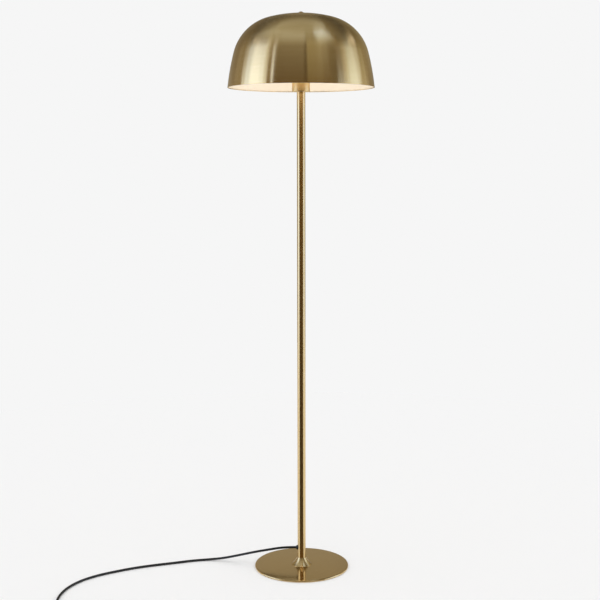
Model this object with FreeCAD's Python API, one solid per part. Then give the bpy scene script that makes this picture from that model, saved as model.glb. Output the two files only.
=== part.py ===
import FreeCAD, Part
import math
import os

from FreeCAD import Vector

# Mushroom floor lamp. Millimetres, +Z up, origin on the floor under the pole's axis.
# The lamp faces -Y and its cord leaves the pole towards -X.

# ---------------------------------------------------------------- driving dimensions
FIT = 0.05  # radial clearance of pieces that screw or press together
CLEAR = 0.3  # clearance of a hole round a bolt, a nipple or a moving piece

# Base: a flat steel plate with a rounded top edge, standing on a glued pad
PLATE_R = 121.0
PLATE_T = 4.5
PLATE_ROUND = 3.0
PLATE_CHAMFER = 0.4
PAD_T = 1.5
PAD_PROUD = 0.5
PAD_MARGIN = 4.0
PAD_HOLE_R = 14.0

# Bolt that draws the pole down onto the plate, low flat head below
BOLT_R = 5.0
BOLT_L = 18.0
BOLT_HEAD_R = 11.0
BOLT_HEAD_T = 1.8
BOLT_SOCKET_AF = 6.0
BOLT_SOCKET_DEPTH = 1.2

# Pole: three steel tubes
POLE_R = 10.5
POLE_WALL = 1.2
SECTION_L = 402.0
SECTIONS = 3
FOOT_PLUG_L = 25.0
TOP_PLUG_L = 15.0
COUPLER_L = 20.0
COUPLER_THREAD_R = 7.0
COUPLER_THREAD_L = 14.0
INSERT_L = 18.0
INSERT_SET_BACK = 1.0
CABLE_BORE_R = 4.2

# Trumpet collar that hides the pole's foot
FLARE_R = 26.4
FLARE_LIP = 1.0
FLARE_EDGE = 0.5
FLARE_WALL = 1.4
FLARE_GRIP = 7.0

# Cord and the bush it leaves by
CORD_R = 3.0
EXIT_Z = 49.0
BUSH_FLANGE_R = 6.2
BUSH_NOSE_R = 3.9
BUSH_NOSE_L = 4.0
BUSH_SHANK_R = 4.7
BUSH_LIP = 0.8
CABLE_BEND_R = 7.0

# Lamp cup under the shade, threaded nipple and lock nut
CUP_R = 22.0
CUP_H = 50.0
CUP_WALL = 1.0
CUP_ROUND = 2.5
NIPPLE_R = 5.0
NIPPLE_BORE_R = 3.5
NIPPLE_IN_PLUG = 13.0
NIPPLE_IN_HOLDER = 4.5
NUT_AF = 14.0
NUT_T = 3.0

# Harp: saddle, two ferrules, wire bow with a seat and a stud for the shade
HARP_H = 186.4
SADDLE_T = 1.3
SADDLE_BEND = 3.0
SADDLE_R = 13.0
EAR_W = 6.0
EAR_GAP = 0.5
EAR_IN_FERRULE = 5.0
FERRULE_ABOVE_CUP = 1.5
FERRULE_L = 11.0
FERRULE_WALL = 1.2
WIRE_R = 1.5
HARP_HALF_W = 46.0
HARP_NECK_RISE = 4.0
HARP_BOW_RISE = 22.0
HARP_NECK_BEND = 6.0
HARP_SIDE_BEND = 14.0
HARP_TOP_BEND = 34.0
SEAT_R = 7.0
SEAT_T = 3.0
STUD_R = 3.0

# Lampholder with a 27 mm screw shell
HOLDER_R = 18.0
HOLDER_CAP_H = 14.0
HOLDER_FLOOR = 5.0
HOLDER_CHAMBER_R = 13.0
HOLDER_LEDGE_R = 16.0
DECK_T = 4.0
SKIRT_H = 30.0
SLEEVE_R = 13.9
SLEEVE_WALL = 0.5
SLEEVE_H = 26.0
CONTACT_T = 0.5
CONTACT_RISE = 2.2
CONTACT_W = 6.0

# Bulb, 60 mm across and 105 mm long
BULB_R = 30.0
BULB_L = 105.0
BULB_NECK_R = 13.4
BULB_NECK_FLARE = 35.0
GLASS_WALL = 0.8
BULB_CAP_R = 13.1
BULB_CAP_WALL = 0.4
BULB_CAP_H = 23.0
BULB_FOOT_R = 5.5
BULB_FOOT_T = 1.2
INSULATOR_R = 11.0
INSULATOR_H = 3.0
GLASS_IN_CAP = 5.0

# Shade: spun dome with a hem rolled inwards at its rim
SHADE_R = 181.0
SHADE_WALL = 1.0
SHADE_RIM_LEAN = 6.3
SHADE_WALL_R = 590.0
SHADE_WALL_TOP_LEAN = 14.7
SHADE_SHOULDER_R = 116.0
SHADE_CROWN_LEAN = 75.2
HEM_R = 1.2

# Washer and domed cap nut on the crown
WASHER_R = 7.0
WASHER_T = 0.8
FINIAL_R = 6.5
FINIAL_H = 4.4
FINIAL_SKIRT = 1.4
FINIAL_BORE_DEPTH = 3.2

# Foot switch in the cord
SWITCH_L = 84.0
SWITCH_W = 44.0
SWITCH_BASE_H = 9.0
SWITCH_COVER_H = 14.0
SWITCH_WALL = 1.8
SWITCH_FLOOR = 1.2
SWITCH_EDGE = 5.0
BUTTON_R = 12.0
BUTTON_TRAVEL = 2.5
BUTTON_PRESSED_PROUD = 1.5
BUTTON_FLANGE = 1.6
BUTTON_FLANGE_T = 2.0
BUTTON_WALL = 1.8
BUTTON_EDGE = 1.2
SPRING_R = 4.0
SPRING_WIRE_R = 0.4
SPRING_TURNS = 4
SWITCH_SCREW_R = 1.5
SWITCH_SCREW_HEAD_R = 2.8
SWITCH_SCREW_HEAD_T = 1.8
SWITCH_SCREW_L = 13.0
SWITCH_SCREW_X = 31.0
RELIEF_L = 14.0
RELIEF_R = 4.0
RELIEF_WAIST_R = 3.6
RELIEF_RIBS = 4

# Coil of put-away cord: half turns that draw in, climb one layer and go out again
COIL_RUN = 52.0
COIL_END_RUN = 8.0
COIL_OUTER_R = 38.5
COIL_PITCH = 6.5
COIL_HALF_TURNS = 9
TIE_W = 8.0
TIE_T = 0.8
TIE_GAP = 0.3

# Flat two-pin plug
PLUG_W = 35.3
PLUG_BACK_W = 15.0
PLUG_T = 13.7
PLUG_L = 34.0
PLUG_SIDE_L = 12.0
PLUG_EDGE = 2.5
BOOT_L = 22.0
BOOT_R = 5.4
BOOT_END_R = 4.2
BOOT_RIBS = 5
PIN_R = 2.0
PIN_L = 19.0
PIN_SPACING = 18.6
PIN_ROOT_R = 1.6
PIN_IN_BODY = 8.0

# ---------------------------------------------------------------- places that follow
BASE_TOP = PAD_PROUD + PLATE_T
POLE_IN_R = POLE_R - POLE_WALL
POLE_TOP = BASE_TOP + SECTIONS * SECTION_L
SEAMS = [BASE_TOP + i * SECTION_L for i in range(1, SECTIONS)]
CUP_TOP = POLE_TOP + CUP_H
SADDLE_Z = POLE_TOP + CUP_WALL
NUT_Z = SADDLE_Z + SADDLE_T
HOLDER_Z = NUT_Z + NUT_T
DECK_TOP = HOLDER_Z + HOLDER_CAP_H
BULB_Z = DECK_TOP + CONTACT_RISE + CONTACT_T + CLEAR
BULB_CAP_Z = BULB_Z + BULB_FOOT_T + INSULATOR_H
BULB_CAP_TOP = BULB_CAP_Z + BULB_CAP_H
EAR_OUT = CUP_R - CUP_WALL - EAR_GAP
FERRULE_Z = CUP_TOP + FERRULE_ABOVE_CUP
EAR_TOP = FERRULE_Z + EAR_IN_FERRULE
SEAT_Z = SADDLE_Z + HARP_H
RIM_TURN, WALL_TURN, CROWN_TURN = (
    math.radians(lean) for lean in (SHADE_RIM_LEAN, SHADE_WALL_TOP_LEAN, SHADE_CROWN_LEAN))
CROWN_EDGE_R = (SHADE_R + SHADE_WALL_R * (math.cos(WALL_TURN) - math.cos(RIM_TURN))
                + SHADE_SHOULDER_R * (math.cos(CROWN_TURN) - math.cos(WALL_TURN)))
CROWN_R = CROWN_EDGE_R / math.cos(CROWN_TURN)
CROWN_IN_R = CROWN_R - SHADE_WALL
SEAT_SAG = CROWN_IN_R - math.sqrt(CROWN_IN_R**2 - SEAT_R**2)
APEX_Z = SEAT_Z + SEAT_SAG + SHADE_WALL
WASHER_TOP = APEX_Z + WASHER_T
STUD_TOP = WASHER_TOP + FINIAL_BORE_DEPTH - CLEAR
CORD_LOW = CORD_R + 0.05
COIL_LOW = CORD_R + SWITCH_FLOOR

# The cord from the bush to the foot switch: out level, down to the floor, and round to the front.
LEAD_ROUTE = [
    (-(POLE_R + BUSH_NOSE_L), 0, EXIT_Z),
    (-46, 0, EXIT_Z),
    (-82, 2, 42.6),
    (-122, 7, 34),
    (-165, 18, 21),
    (-205, 31, 8.5),
    (-241, 37, CORD_LOW),
    (-286, 28, CORD_LOW),
    (-335, 10, CORD_LOW),
    (-385, -6, CORD_LOW),
    (-431, -25, CORD_LOW),
    (-474, -49, CORD_LOW),
    (-517, -77, CORD_LOW),
    (-552, -113, CORD_LOW),
    (-575, -157, CORD_LOW),
    (-585, -205, CORD_LOW),
    (-583, -254, CORD_LOW),
    (-565, -299, CORD_LOW),
    (-531, -333, CORD_LOW),
    (-498, -348, COIL_LOW),
    (-470, -348, COIL_LOW),
]
SWITCH_IN = LEAD_ROUTE[-1]
SWITCH_AT = (SWITCH_IN[0] + SWITCH_L / 2, SWITCH_IN[1])
COIL_X = SWITCH_IN[0] + SWITCH_L + COIL_RUN
COIL_Y = SWITCH_IN[1] - COIL_OUTER_R
COIL_HIGH = COIL_LOW + COIL_PITCH
PLUG_Z = PLUG_T / 2 + 0.05
TAIL_START = (COIL_X - COIL_END_RUN, COIL_Y - COIL_OUTER_R, COIL_HIGH)
TAIL_ROUTE = [
    TAIL_START,
    (TAIL_START[0] - 17, TAIL_START[1], COIL_HIGH),
    (TAIL_START[0] - 39, TAIL_START[1] - 2, PLUG_Z),
    (TAIL_START[0] - 56, TAIL_START[1] - 2, PLUG_Z),
]
PLUG_AT = TAIL_ROUTE[-1]


# ---------------------------------------------------------------- shared operations
def edges_along(start, steps):
    """Edges of a flat outline in XZ. A step is a point (r, z), or a pair (middle, end) for an arc."""
    edges = []
    here = Vector(start[0], 0, start[1])
    for step in steps:
        if isinstance(step[0], tuple):
            middle = Vector(step[0][0], 0, step[0][1])
            end = Vector(step[1][0], 0, step[1][1])
            edges.append(Part.Arc(here, middle, end).toShape())
        else:
            end = Vector(step[0], 0, step[1])
            edges.append(Part.makeLine(here, end))
        here = end
    return edges


def turned(start, *steps):
    """A piece turned about the Z axis, from its closed outline."""
    face = Part.Face(Part.Wire(edges_along(start, list(steps) + [start])))
    return face.revolve(Vector(0, 0, 0), Vector(0, 0, 1), 360)


def bend(centre, radius, first, last):
    """An outline's arc step about a centre, between two angles in degrees from the r axis."""
    points = []
    for angle in ((first + last) / 2, last):
        turn = math.radians(angle)
        points.append((centre[0] + radius * math.cos(turn), centre[1] + radius * math.sin(turn)))
    return tuple(points)


def tube(outer, inner, low, high):
    return turned((inner, low), (outer, low), (outer, high), (inner, high))


def hexagon(across_flats, low, height):
    corner = across_flats / math.sqrt(3)
    turns = [math.radians(60 * i) for i in range(7)]
    points = [Vector(corner * math.cos(t), corner * math.sin(t), low) for t in turns]
    return Part.Face(Part.makePolygon(points)).extrude(Vector(0, 0, height))


def rounded_path(points, radii):
    """Straight runs joined by tangent arcs, with one radius for each inner point."""
    points = [Vector(*p) for p in points]
    edges = []
    here = points[0]
    for i, radius in enumerate(radii, 1):
        back = (points[i - 1] - points[i]).normalize()
        on = (points[i + 1] - points[i]).normalize()
        half = back.getAngle(on) / 2
        reach = radius / math.tan(half)
        first, last = points[i] + back * reach, points[i] + on * reach
        middle = points[i] + (back + on).normalize() * (radius / math.sin(half) - radius)
        edges += [Part.makeLine(here, first), Part.Arc(first, middle, last).toShape()]
        here = last
    return Part.Wire(edges + [Part.makeLine(here, points[-1])])


def cord_radii(points):
    """The largest arc that each corner's two runs allow: 0.45 of the shorter run."""
    points = [Vector(*p) for p in points]
    radii = []
    for before, at, after in zip(points, points[1:], points[2:]):
        turn = (at - before).getAngle(after - at)
        shorter = min((at - before).Length, (after - at).Length)
        radii.append(0.45 * shorter / math.tan(turn / 2))
    return radii


def piped(path, radius):
    """A solid round tube along a wire, its first face square to the wire."""
    first = path.OrderedEdges[0]
    along = first.tangentAt(first.FirstParameter)
    ring = Part.Wire(Part.makeCircle(radius, path.OrderedVertexes[0].Point, along))
    return path.makePipeShell([ring], True, False)


def cord(name, points):
    radii = cord_radii(points)
    path = rounded_path(points, radii)
    solid = piped(path, CORD_R)
    share = solid.Volume / (math.pi * CORD_R**2 * path.Length)
    print(f"{name}: {path.Length:.1f} long, volume {share:.4f} of section times length, radii",
          " ".join(f"{r:.0f}" for r in radii))
    return solid


def arc_from(start, along, end):
    """The arc from start to end that leaves start in the direction along."""
    chord = end - start
    side = along - chord * (along.dot(chord) / chord.dot(chord))
    if side.Length < 1e-9:
        return Part.makeLine(start, end)
    half = along.getAngle(chord)
    middle = (start + end) * 0.5 + side.normalize() * (chord.Length / 2 * math.tan(half / 2))
    return Part.Arc(start, middle, end).toShape()


def biarc(start, along, end, onward):
    """Two tangent arcs from start to end, leaving along one direction and arriving along another."""
    span = end - start
    reach = span.dot(along + onward)
    bendy = 2 * (1 - along.dot(onward))
    length = (math.sqrt(reach**2 + bendy * span.dot(span)) - reach) / bendy
    joint = (start + end + (along - onward) * length) * 0.5
    back = arc_from(end, onward * -1, joint)
    middle = back.valueAt((back.FirstParameter + back.LastParameter) / 2)
    return [arc_from(start, along, joint), Part.Arc(joint, middle, end).toShape()]


def winding(place, heading, first, last, step):
    """Biarcs along a turning curve, one for each step of its angle."""
    edges = []
    for i in range(round((last - first) / step)):
        a, b = first + i * step, first + (i + 1) * step
        edges += biarc(place(a), heading(a), place(b), heading(b))
    return edges


def least_gap(path, radius, spacing, apart):
    """Least gap between stretches of one tube that lie at least apart along it."""
    points = path.discretize(Distance=spacing)
    skip = math.ceil(apart / spacing)
    least = min(
        (a - b).Length for i, a in enumerate(points) for b in points[i + skip:]
    )
    return least - 2 * radius


def along_x(shape, place, towards=1):
    """A piece turned about Z, laid with its Z axis along +X or -X, at a place."""
    shape.rotate(Vector(0, 0, 0), Vector(0, 1, 0), 90 * towards)
    shape.translate(Vector(*place))
    return shape


def stadium(length, width, low, height):
    """A flat-sided slab with two round ends, its long side along X, centred on the switch."""
    straight, r = length / 2 - width / 2, width / 2
    x, y = SWITCH_AT
    a, b = Vector(x - straight, y - r, low), Vector(x + straight, y - r, low)
    c, d = Vector(x + straight, y + r, low), Vector(x - straight, y + r, low)
    right, left = Vector(x + straight + r, y, low), Vector(x - straight - r, y, low)
    edges = [Part.makeLine(a, b), Part.Arc(b, right, c).toShape(),
             Part.makeLine(c, d), Part.Arc(d, left, a).toShape()]
    return Part.Face(Part.Wire(edges)).extrude(Vector(0, 0, height))


def softened(solid, radius, height):
    """The solid with its edges at one height rounded."""
    edges = [e for e in solid.Edges
             if abs(e.BoundBox.ZMin - height) < 1e-6 and abs(e.BoundBox.ZMax - height) < 1e-6]
    return solid.makeFillet(radius, edges)


def bent(box, radius, height):
    """The box with its two low edges along Y rounded."""
    low = [e for e in box.Edges if e.BoundBox.YLength > 1e-6 and e.BoundBox.ZMax < height + 1e-6]
    return box.makeFillet(radius, low)


def cylinder_at(place, radius, low, height):
    return Part.makeCylinder(radius, height, Vector(place[0], place[1], low))


# ---------------------------------------------------------------- base and foot
def base_plate():
    hole, bore = BOLT_R + CLEAR, BOLT_HEAD_R + CLEAR
    ceiling = PAD_T + BOLT_HEAD_T
    recess = PLATE_R - PAD_MARGIN
    corner = (PLATE_R - PLATE_ROUND, BASE_TOP - PLATE_ROUND)
    return turned(
        (hole, ceiling), (bore, ceiling), (bore, PAD_T), (recess, PAD_T), (recess, PAD_PROUD),
        (PLATE_R - PLATE_CHAMFER, PAD_PROUD), (PLATE_R, PAD_PROUD + PLATE_CHAMFER),
        (PLATE_R, corner[1]), bend(corner, PLATE_ROUND, 0, 90), (hole, BASE_TOP))


def base_pad():
    return tube(PLATE_R - PAD_MARGIN - CLEAR, PAD_HOLE_R, 0, PAD_T)


def base_bolt():
    under = PAD_T + BOLT_HEAD_T
    bolt = turned((0, PAD_T), (BOLT_HEAD_R, PAD_T), (BOLT_HEAD_R, under), (BOLT_R, under),
                  (BOLT_R, BASE_TOP + BOLT_L), (0, BASE_TOP + BOLT_L))
    return bolt.cut(hexagon(BOLT_SOCKET_AF, PAD_T, BOLT_SOCKET_DEPTH))


def pole_foot():
    plug, thread = POLE_IN_R - FIT, BOLT_R + FIT
    top, blind = BASE_TOP + FOOT_PLUG_L, BASE_TOP + BOLT_L + CLEAR
    return turned((thread, BASE_TOP), (plug, BASE_TOP), (plug, top), (0, top), (0, blind),
                  (thread, blind))


def foot_flare():
    bore = POLE_R + FIT
    edge = bore + FLARE_EDGE
    sweep = FLARE_R - edge
    foot = BASE_TOP + FLARE_LIP
    centre = (FLARE_R, foot + sweep)
    collar = turned((bore, BASE_TOP), (FLARE_R, BASE_TOP), (FLARE_R, foot),
                    bend(centre, sweep, 270, 180), (bore, foot + sweep))
    neck = foot + sweep - FLARE_GRIP
    wall = Part.makeTorus(FLARE_R, sweep + FLARE_WALL, Vector(0, 0, foot + sweep))
    return collar.cut(tube(FLARE_R, bore, BASE_TOP, neck).cut(wall))


# ---------------------------------------------------------------- pole
def pole_section(index):
    low = BASE_TOP + index * SECTION_L
    return tube(POLE_R, POLE_IN_R, low, low + SECTION_L)


def pole_lower():
    hole = Part.makeCylinder(BUSH_SHANK_R + FIT, POLE_R + 1, Vector(0, 0, EXIT_Z), Vector(-1, 0, 0))
    return pole_section(0).cut(hole)


def coupler(seam):
    body = POLE_IN_R - FIT
    top = seam + COUPLER_THREAD_L
    return turned((CABLE_BORE_R, seam - COUPLER_L), (body, seam - COUPLER_L), (body, seam),
                  (COUPLER_THREAD_R, seam), (COUPLER_THREAD_R, top), (CABLE_BORE_R, top))


def thread_insert(seam):
    low = seam + INSERT_SET_BACK
    return tube(POLE_IN_R - FIT, COUPLER_THREAD_R + FIT, low, low + INSERT_L)


def pole_top_plug():
    return tube(POLE_IN_R - FIT, NIPPLE_R + FIT, POLE_TOP - TOP_PLUG_L, POLE_TOP)


def cord_bush():
    base = POLE_R - BUSH_FLANGE_R**2 / POLE_R
    nose_x = POLE_R + BUSH_NOSE_L
    inside = CABLE_BEND_R + CLEAR
    cone = turned((0, base), (BUSH_FLANGE_R, base), (BUSH_FLANGE_R, POLE_R),
                  (BUSH_NOSE_R, nose_x), (0, nose_x))
    cone = along_x(cone, (0, 0, EXIT_Z), -1)
    column_low = EXIT_Z - 3 * BUSH_FLANGE_R
    column = Part.makeCylinder(POLE_R + FIT, 6 * BUSH_FLANGE_R, Vector(0, 0, column_low))
    core = Part.makeCylinder(POLE_IN_R - FIT, 6 * BUSH_FLANGE_R, Vector(0, 0, column_low))
    shank = turned((0, inside), (BUSH_SHANK_R, inside), (BUSH_SHANK_R, POLE_R + 1), (0, POLE_R + 1))
    shank = along_x(shank, (0, 0, EXIT_Z), -1)
    lip_r = BUSH_SHANK_R + BUSH_LIP
    lip = along_x(turned((0, inside), (lip_r, inside), (lip_r, POLE_R), (0, POLE_R)),
                  (0, 0, EXIT_Z), -1).common(core)
    bore = Part.makeCylinder(CORD_R + FIT, nose_x + 1, Vector(0, 0, EXIT_Z), Vector(-1, 0, 0))
    return cone.cut(column).fuse([shank, lip]).cut(bore).removeSplitter()


def inner_cable():
    start = LEAD_ROUTE[0]
    top = HOLDER_Z + HOLDER_FLOOR + CORD_R
    return piped(rounded_path([start, (0, 0, EXIT_Z), (0, 0, top)], [CABLE_BEND_R]), CORD_R)


# ---------------------------------------------------------------- lamp cup and lampholder
def lamp_cup():
    hole, wall = NIPPLE_R + CLEAR, CUP_R - CUP_WALL
    centre = (CUP_R - CUP_ROUND, POLE_TOP + CUP_ROUND)
    return turned((hole, POLE_TOP), (centre[0], POLE_TOP), bend(centre, CUP_ROUND, 270, 360),
                  (CUP_R, CUP_TOP), (wall, CUP_TOP), (wall, centre[1]),
                  bend(centre, CUP_ROUND - CUP_WALL, 360, 270), (hole, SADDLE_Z))


def nipple():
    return tube(NIPPLE_R, NIPPLE_BORE_R, POLE_TOP - NIPPLE_IN_PLUG, HOLDER_Z + NIPPLE_IN_HOLDER)


def lock_nut():
    thread = Part.makeCylinder(NIPPLE_R + FIT, NUT_T, Vector(0, 0, NUT_Z))
    return hexagon(NUT_AF, NUT_Z, NUT_T).cut(thread)


def holder_cap():
    thread, floor = NIPPLE_R + FIT, HOLDER_Z + HOLDER_FLOOR
    ledge = DECK_TOP - DECK_T
    return turned((thread, HOLDER_Z), (HOLDER_R, HOLDER_Z), (HOLDER_R, DECK_TOP),
                  (HOLDER_LEDGE_R, DECK_TOP), (HOLDER_LEDGE_R, ledge), (HOLDER_CHAMBER_R, ledge),
                  (HOLDER_CHAMBER_R, floor), (thread, floor))


def holder_deck():
    return Part.makeCylinder(HOLDER_LEDGE_R - FIT, DECK_T, Vector(0, 0, DECK_TOP - DECK_T))


def holder_skirt():
    return tube(HOLDER_R, SLEEVE_R + FIT, DECK_TOP, DECK_TOP + SKIRT_H)


def holder_sleeve():
    return tube(SLEEVE_R, SLEEVE_R - SLEEVE_WALL, DECK_TOP, DECK_TOP + SLEEVE_H)


def holder_contact():
    """A springy brass leaf: its foot riveted to the deck, its tongue under the bulb's contact."""
    reach = BULB_FOOT_R
    foot, bent = -2 * reach + SLEEVE_WALL, -reach / 2
    low, high = DECK_TOP, DECK_TOP + CONTACT_RISE
    outline = [(foot, low), (bent, low), (0, high), (reach, high), (reach, high + CONTACT_T),
               (-CONTACT_T / 2, high + CONTACT_T), (bent - CONTACT_T / 2, low + CONTACT_T),
               (foot, low + CONTACT_T), (foot, low)]
    points = [Vector(x, -CONTACT_W / 2, z) for x, z in outline]
    return Part.Face(Part.makePolygon(points)).extrude(Vector(0, CONTACT_W, 0))


# ---------------------------------------------------------------- bulb
def bulb_contact():
    return Part.makeCylinder(BULB_FOOT_R, BULB_FOOT_T, Vector(0, 0, BULB_Z))


def bulb_insulator():
    low = BULB_Z + BULB_FOOT_T
    return turned((0, low), (BULB_FOOT_R, low), (INSULATOR_R, BULB_CAP_Z), (0, BULB_CAP_Z))


def bulb_cap():
    inner, floor = BULB_CAP_R - BULB_CAP_WALL, BULB_CAP_Z + BULB_CAP_WALL
    return turned((0, BULB_CAP_Z), (INSULATOR_R, BULB_CAP_Z), (BULB_CAP_R, BULB_CAP_Z + INSULATOR_H),
                  (BULB_CAP_R, BULB_CAP_TOP), (inner, BULB_CAP_TOP),
                  (inner, BULB_CAP_Z + INSULATOR_H + BULB_CAP_WALL), (INSULATOR_R, floor), (0, floor))


def bulb_glass():
    centre = BULB_Z + BULB_L - BULB_R
    out_from = (BULB_NECK_R + BULB_NECK_FLARE,
                centre - math.sqrt((BULB_R + BULB_NECK_FLARE) ** 2
                                   - (BULB_NECK_R + BULB_NECK_FLARE) ** 2))
    lean = math.degrees(math.atan2(centre - out_from[1], out_from[0]))
    sleeve = BULB_CAP_R - BULB_CAP_WALL - FIT
    root, shoulder = BULB_CAP_TOP - GLASS_IN_CAP, BULB_CAP_TOP + GLASS_WALL
    outer, inner = BULB_R, BULB_R - GLASS_WALL
    flare, flare_in = BULB_NECK_FLARE, BULB_NECK_FLARE + GLASS_WALL
    ball = (0, centre)
    return turned(
        (sleeve, root), (sleeve, BULB_CAP_TOP), (BULB_NECK_R, shoulder), (BULB_NECK_R, out_from[1]),
        bend(out_from, flare, 180, 180 - lean), bend(ball, outer, -lean, 90), (0, centre + inner),
        bend(ball, inner, 90, -lean), bend(out_from, flare_in, 180 - lean, 180),
        (BULB_NECK_R - GLASS_WALL, shoulder), (sleeve - GLASS_WALL, BULB_CAP_TOP),
        (sleeve - GLASS_WALL, root))


# ---------------------------------------------------------------- harp
def harp_saddle():
    plate = Part.makeCylinder(SADDLE_R, SADDLE_T, Vector(0, 0, SADDLE_Z))
    inside = EAR_OUT - SADDLE_T
    strip = Part.makeBox(2 * EAR_OUT, EAR_W, EAR_TOP - SADDLE_Z, Vector(-EAR_OUT, -EAR_W / 2, SADDLE_Z))
    space = Part.makeBox(2 * inside, EAR_W, EAR_TOP - NUT_Z, Vector(-inside, -EAR_W / 2, NUT_Z))
    strip, space = bent(strip, SADDLE_BEND, SADDLE_Z), bent(space, SADDLE_BEND - SADDLE_T, NUT_Z)
    hole = Part.makeCylinder(NIPPLE_R + CLEAR, SADDLE_T, Vector(0, 0, SADDLE_Z))
    return strip.cut(space).fuse(plate).cut(hole).removeSplitter()


def harp_ferrules():
    """Two sleeves that slip down over the saddle's ears and hold the wire's ends."""
    wide, deep = EAR_W + 2 * FERRULE_WALL, 2 * (WIRE_R + FERRULE_WALL)
    centre = EAR_OUT - SADDLE_T / 2
    pair = []
    for side in (-1, 1):
        x = side * centre
        body = Part.makeBox(deep, wide, FERRULE_L, Vector(x - deep / 2, -wide / 2, FERRULE_Z))
        upright = [e for e in body.Edges if e.BoundBox.ZLength > FERRULE_L / 2]
        body = body.makeFillet(FERRULE_WALL, upright)
        slot = Part.makeBox(SADDLE_T + 2 * FIT, EAR_W + 2 * FIT, EAR_IN_FERRULE,
                            Vector(x - SADDLE_T / 2 - FIT, -EAR_W / 2 - FIT, FERRULE_Z))
        wire = cylinder_at((x, 0), WIRE_R + FIT, EAR_TOP, FERRULE_L)
        pair.append(body.cut([slot, wire]))
    return Part.makeCompound(pair)


def harp():
    foot_x, foot_z = EAR_OUT - SADDLE_T / 2, EAR_TOP + FIT
    neck = FERRULE_Z + FERRULE_L + HARP_NECK_RISE
    bow = neck + HARP_BOW_RISE
    top = SEAT_Z - SEAT_T - WIRE_R / 2
    half = [(foot_x, 0, foot_z), (foot_x, 0, neck), (HARP_HALF_W, 0, bow), (HARP_HALF_W, 0, top)]
    points = half + [(-x, y, z) for x, y, z in reversed(half)]
    bends = [HARP_NECK_BEND, HARP_SIDE_BEND, HARP_TOP_BEND]
    wire = piped(rounded_path(points, bends + bends[::-1]), WIRE_R)
    seat = Part.makeCylinder(SEAT_R, SEAT_T, Vector(0, 0, SEAT_Z - SEAT_T))
    hole = Part.makeCylinder(STUD_R + FIT, 2 * SEAT_T + 2 * WIRE_R,
                             Vector(0, 0, SEAT_Z - SEAT_T))
    return wire.fuse(seat).cut(hole).removeSplitter()


def harp_stud():
    return Part.makeCylinder(STUD_R, STUD_TOP - SEAT_Z + SEAT_T, Vector(0, 0, SEAT_Z - SEAT_T))


# ---------------------------------------------------------------- shade and its nut
def dome_arcs():
    """The spun outline from rim to crown: (radius, lean at its start, lean at its end) in degrees."""
    return [(SHADE_WALL_R, SHADE_RIM_LEAN, SHADE_WALL_TOP_LEAN),
            (SHADE_SHOULDER_R, SHADE_WALL_TOP_LEAN, SHADE_CROWN_LEAN),
            (CROWN_R, SHADE_CROWN_LEAN, 90)]


def dome_height():
    return sum(radius * (math.sin(math.radians(last)) - math.sin(math.radians(first)))
               for radius, first, last in dome_arcs())


def shade():
    rim = APEX_Z - dome_height()
    arcs = dome_arcs()
    hole = STUD_R + CLEAR

    centre = (SHADE_R - SHADE_WALL_R * math.cos(RIM_TURN), rim - SHADE_WALL_R * math.sin(RIM_TURN))
    centres = [centre]
    for (radius, _, lean), (onward, _, _) in zip(arcs, arcs[1:]):
        turn = math.radians(lean)
        centre = (centre[0] + (radius - onward) * math.cos(turn),
                  centre[1] + (radius - onward) * math.sin(turn))
        centres.append(centre)
    wall, shoulder, crown = centres

    hole_lean = math.degrees(math.acos(hole / CROWN_R))
    hole_lean_in = math.degrees(math.acos(hole / CROWN_IN_R))
    under_hole = (hole, crown[1] + math.sqrt(CROWN_IN_R**2 - hole**2))
    wall_in = SHADE_WALL_R - SHADE_WALL
    hem_lean = math.degrees(math.asin((rim + 2 * HEM_R - wall[1]) / wall_in))
    hem_r = wall[0] + wall_in * math.cos(math.radians(hem_lean))
    return turned(
        (SHADE_R, rim),
        bend(wall, SHADE_WALL_R, SHADE_RIM_LEAN, SHADE_WALL_TOP_LEAN),
        bend(shoulder, SHADE_SHOULDER_R, SHADE_WALL_TOP_LEAN, SHADE_CROWN_LEAN),
        bend(crown, CROWN_R, SHADE_CROWN_LEAN, hole_lean),
        under_hole,
        bend(crown, CROWN_IN_R, hole_lean_in, SHADE_CROWN_LEAN),
        bend(shoulder, SHADE_SHOULDER_R - SHADE_WALL, SHADE_CROWN_LEAN, SHADE_WALL_TOP_LEAN),
        bend(wall, wall_in, SHADE_WALL_TOP_LEAN, hem_lean),
        ((hem_r - HEM_R, rim + HEM_R), (hem_r, rim)))


def shade_washer():
    return tube(WASHER_R, STUD_R + CLEAR, APEX_Z, WASHER_TOP)


def finial_nut():
    low = WASHER_TOP + FIT
    rise = FINIAL_H - FINIAL_SKIRT
    dome = (FINIAL_R**2 + rise**2) / (2 * rise)
    centre = (0, low + FINIAL_H - dome)
    lean = math.degrees(math.acos(FINIAL_R / dome))
    bore, blind = STUD_R + FIT, low + FINIAL_BORE_DEPTH
    return turned((bore, low), (FINIAL_R, low), (FINIAL_R, low + FINIAL_SKIRT),
                  bend(centre, dome, lean, 90), (0, blind), (bore, blind))


# ---------------------------------------------------------------- foot switch
SWITCH_H = SWITCH_BASE_H + SWITCH_COVER_H
BUTTON_FLANGE_Z = SWITCH_H - SWITCH_WALL - CLEAR - BUTTON_FLANGE_T
BUTTON_TOP = SWITCH_H + BUTTON_TRAVEL + BUTTON_PRESSED_PROUD
SCREW_PLACES = [(SWITCH_AT[0] + side * SWITCH_SCREW_X, SWITCH_AT[1]) for side in (-1, 1)]
SCREW_BOSS_R = SWITCH_SCREW_HEAD_R + SWITCH_WALL
SCREW_HEAD_Z = SWITCH_FLOOR + SWITCH_SCREW_HEAD_T


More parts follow.
